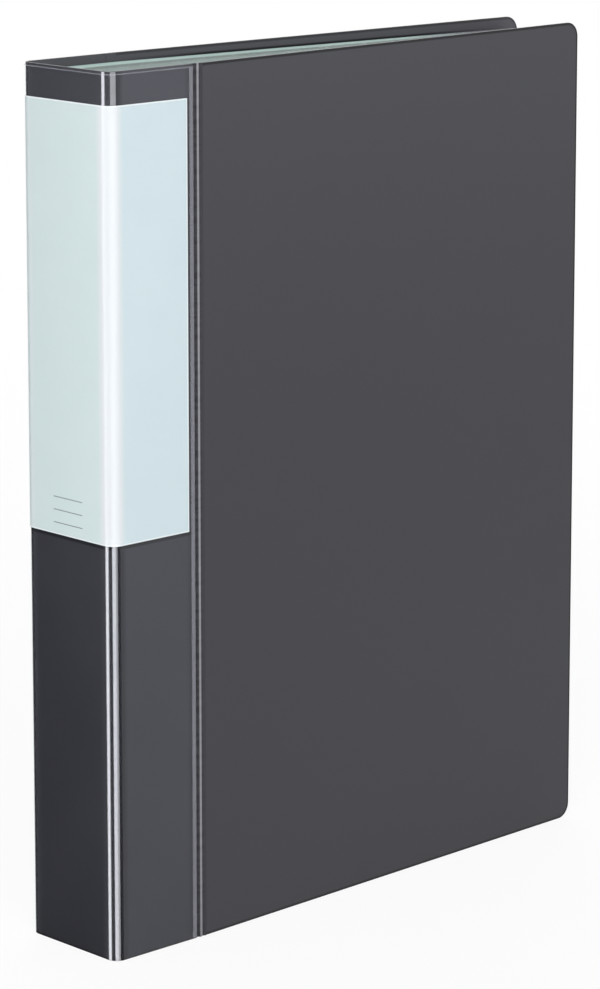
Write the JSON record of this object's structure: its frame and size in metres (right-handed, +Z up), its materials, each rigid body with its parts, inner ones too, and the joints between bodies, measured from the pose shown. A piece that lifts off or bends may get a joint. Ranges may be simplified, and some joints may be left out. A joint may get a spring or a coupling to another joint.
{
  "type": "clear pocket display book",
  "caption": "Upright plastic display book: creased cover that folds right back, clear title sleeve with a slip-in card round the spine, and clear film pockets bound inside.",
  "frame": {"origin": "middle of the footprint, on the floor that the closed book stands on", "axes": "+Z up along the spine, +X from the spine to the fore-edge, front cover towards -Y"},
  "size_m": [0.237, 0.0468, 0.307],
  "materials": {
    "cover_plastic": "satin",
    "clear_film": "gloss",
    "card_paper": "matte",
    "pocket_film": "satin"
  },
  "bodies": {
    "spine": {"spine_wrap": "cover_plastic", "title_sleeve": "clear_film", "binding_block": "pocket_film", "pocket_gutters_01_08": "pocket_film", "pocket_gutters_09_16": "pocket_film", "pocket_gutters_17_24": "pocket_film", "pocket_gutters_25_32": "pocket_film", "pocket_gutters_33_40": "pocket_film", "pocket_gutters_41_48": "pocket_film", "pocket_gutters_49_56": "pocket_film", "pocket_gutters_57_64": "pocket_film", "pocket_gutters_65_72": "pocket_film", "pocket_gutters_73_80": "pocket_film"},
    "front_hinge_strip": {"front_hinge_strip": "cover_plastic"},
    "front_cover": {"front_cover": "cover_plastic"},
    "back_hinge_strip": {"back_hinge_strip": "cover_plastic"},
    "back_cover": {"back_cover": "cover_plastic"},
    "title_card": {"title_card": "card_paper"},
    "pages_1": {"pocket_leaves_01_08": "pocket_film", "pocket_leaves_09_16": "pocket_film"},
    "pages_2": {"pocket_leaves_17_24": "pocket_film", "pocket_leaves_25_32": "pocket_film"},
    "pages_3": {"pocket_leaves_33_40": "pocket_film", "pocket_leaves_41_48": "pocket_film"},
    "pages_4": {"pocket_leaves_49_56": "pocket_film", "pocket_leaves_57_64": "pocket_film"},
    "pages_5": {"pocket_leaves_65_72": "pocket_film", "pocket_leaves_73_80": "pocket_film"}
  },
  "joints": [
    {"name": "front_cover_hinge", "type": "hinge", "parent": "spine", "child": "front_cover", "pos_m": [-0.0784, -0.0235, 0.1535], "axis": [0, 0, -1], "range_deg": [0, 179.9]},
    {"name": "front_inner_crease", "type": "hinge", "parent": "spine", "child": "front_hinge_strip", "pos_m": [-0.0799, -0.022, 0.1535], "axis": [0, 0, -1], "range_deg": [0, 89.95]},
    {"name": "back_cover_hinge", "type": "hinge", "parent": "spine", "child": "back_cover", "pos_m": [-0.0784, 0.0235, 0.1535], "axis": [0, 0, 1], "range_deg": [0, 179.9]},
    {"name": "back_inner_crease", "type": "hinge", "parent": "spine", "child": "back_hinge_strip", "pos_m": [-0.0799, 0.022, 0.1535], "axis": [0, 0, 1], "range_deg": [0, 89.95]},
    {"name": "title_card_slide", "type": "slide", "parent": "spine", "child": "title_card", "axis": [0, 0, 1], "range_m": [0, 0.165]},
    {"name": "pages_1_turn", "type": "hinge", "parent": "spine", "child": "pages_1", "pos_m": [-0.0764, -0.02083, 0.1535], "axis": [0, 0, -1], "range_deg": [0, 83.95]},
    {"name": "pages_2_turn", "type": "hinge", "parent": "spine", "child": "pages_2", "pos_m": [-0.0764, -0.01245, 0.1535], "axis": [0, 0, -1], "range_deg": [0, 41.98]},
    {"name": "pages_3_turn", "type": "hinge", "parent": "spine", "child": "pages_3", "pos_m": [-0.0764, -0.00407, 0.1535], "axis": [0, 0, -1], "range_deg": [0, 20.98]},
    {"name": "pages_4_turn", "type": "hinge", "parent": "spine", "child": "pages_4", "pos_m": [-0.0764, 0.00431, 0.1535], "axis": [0, 0, -1], "range_deg": [0, 10.49]},
    {"name": "pages_5_turn", "type": "hinge", "parent": "spine", "child": "pages_5", "pos_m": [-0.0764, 0.01269, 0.1535], "axis": [0, 0, -1], "range_deg": [0, 5.24]}
  ],
  "couplings": [
    {"joint": "front_inner_crease", "follows": "front_cover_hinge", "ratio": 0.5},
    {"joint": "back_inner_crease", "follows": "back_cover_hinge", "ratio": 0.5},
    {"joint": "pages_1_turn", "follows": "front_cover_hinge", "ratio": 0.4666},
    {"joint": "pages_2_turn", "follows": "front_cover_hinge", "ratio": 0.2333},
    {"joint": "pages_3_turn", "follows": "front_cover_hinge", "ratio": 0.1166},
    {"joint": "pages_4_turn", "follows": "front_cover_hinge", "ratio": 0.0583},
    {"joint": "pages_5_turn", "follows": "front_cover_hinge", "ratio": 0.0291}
  ]
}
